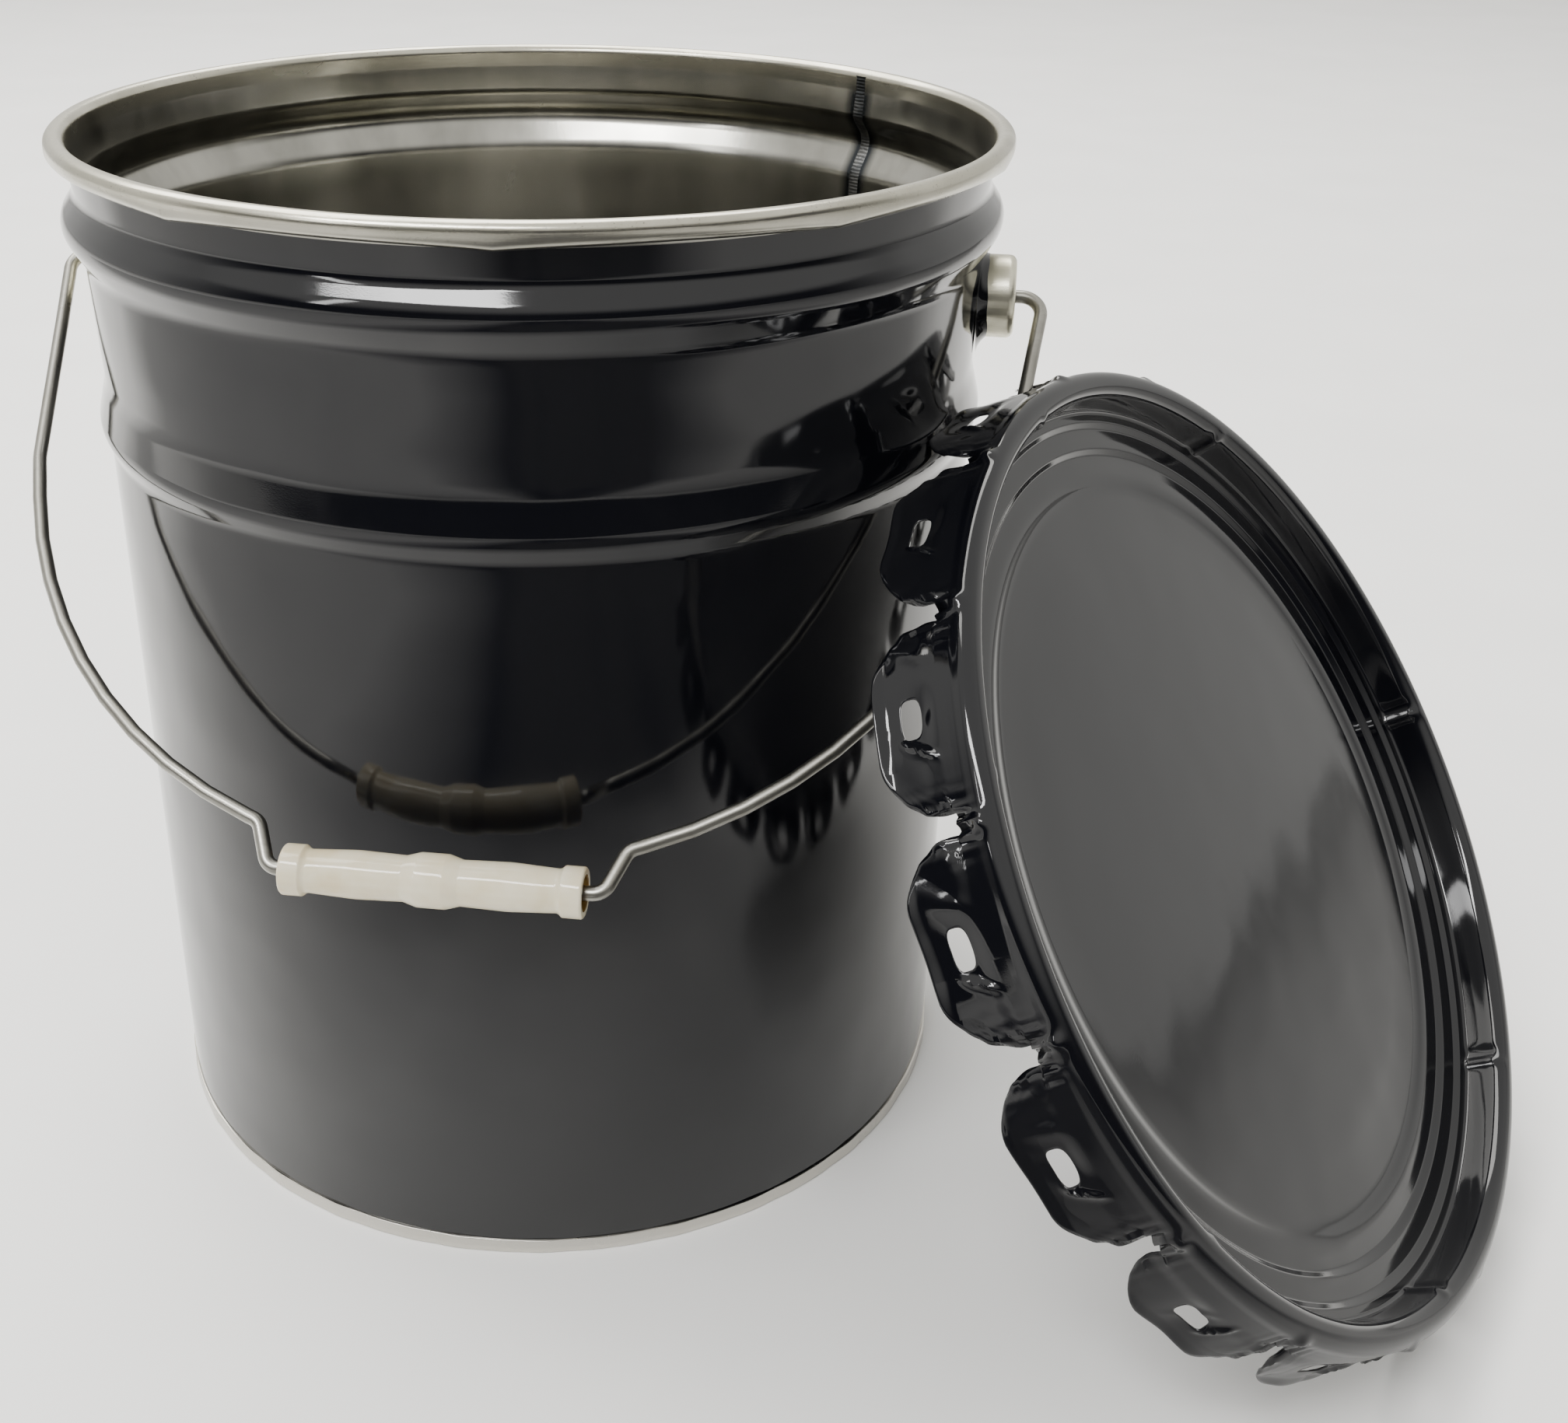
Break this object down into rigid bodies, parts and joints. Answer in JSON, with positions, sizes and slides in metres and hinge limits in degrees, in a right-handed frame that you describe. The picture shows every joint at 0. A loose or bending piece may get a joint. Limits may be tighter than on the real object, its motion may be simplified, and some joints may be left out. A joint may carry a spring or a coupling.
{
  "type": "paint can",
  "caption": "Open-head steel pail with a wire bail and roller grip, and its lug cover with gasket leaning against the side",
  "frame": {"origin": "centre of the pail's base, on the plane it stands on", "axes": "+Z is the pail's own axis, up; +X points to the pail's right as seen from its front, -Y; the bail's ears stand 13.1 degrees clockwise from X"},
  "size_m": [0.4975, 0.4156, 0.34],
  "materials": {
    "pail_paint": "gloss black enamel",
    "bare_steel": "bare cold-rolled steel",
    "weld_steel": "blued weld bead",
    "seam_compound": "matt",
    "ear_zinc": "zinc plated, slightly yellowed",
    "wire_steel": "galvanised wire",
    "grip_plastic": "gloss ivory",
    "cover_paint": "gloss black enamel",
    "gasket_rubber": "matt"
  },
  "bodies": {
    "pail": {"pail_shell": "pail_paint", "side_seam_weld": "weld_steel", "pail_bottom": "bare_steel", "bottom_seam_compound": "seam_compound", "ear_right": "ear_zinc", "ear_left": "ear_zinc"},
    "bail": {"bail_wire": "wire_steel"},
    "grip": {"bail_grip": "grip_plastic"},
    "lid": {"lid_cover": "cover_paint", "lid_gasket": "gasket_rubber"}
  },
  "joints": [
    {"name": "lid_lift", "type": "slide", "parent": "pail", "child": "lid", "axis": [0.6616, -0.4914, 0.5664], "range_m": [0, 0.6]},
    {"name": "bail_swing", "type": "hinge", "parent": "pail", "child": "bail", "pos_m": [0, 0, 0.2873], "axis": [-0.974, 0.2267, 0], "range_deg": [0, 255]},
    {"name": "grip_spin", "type": "hinge", "parent": "bail", "child": "grip", "pos_m": [-0.03629, -0.15594, 0.1539], "axis": [0.974, -0.2267, 0], "continuous": true}
  ],
  "couplings": [
    {"joint": "bail_swing", "follows": "lid_lift", "rad_per_m": 7.41}
  ]
}
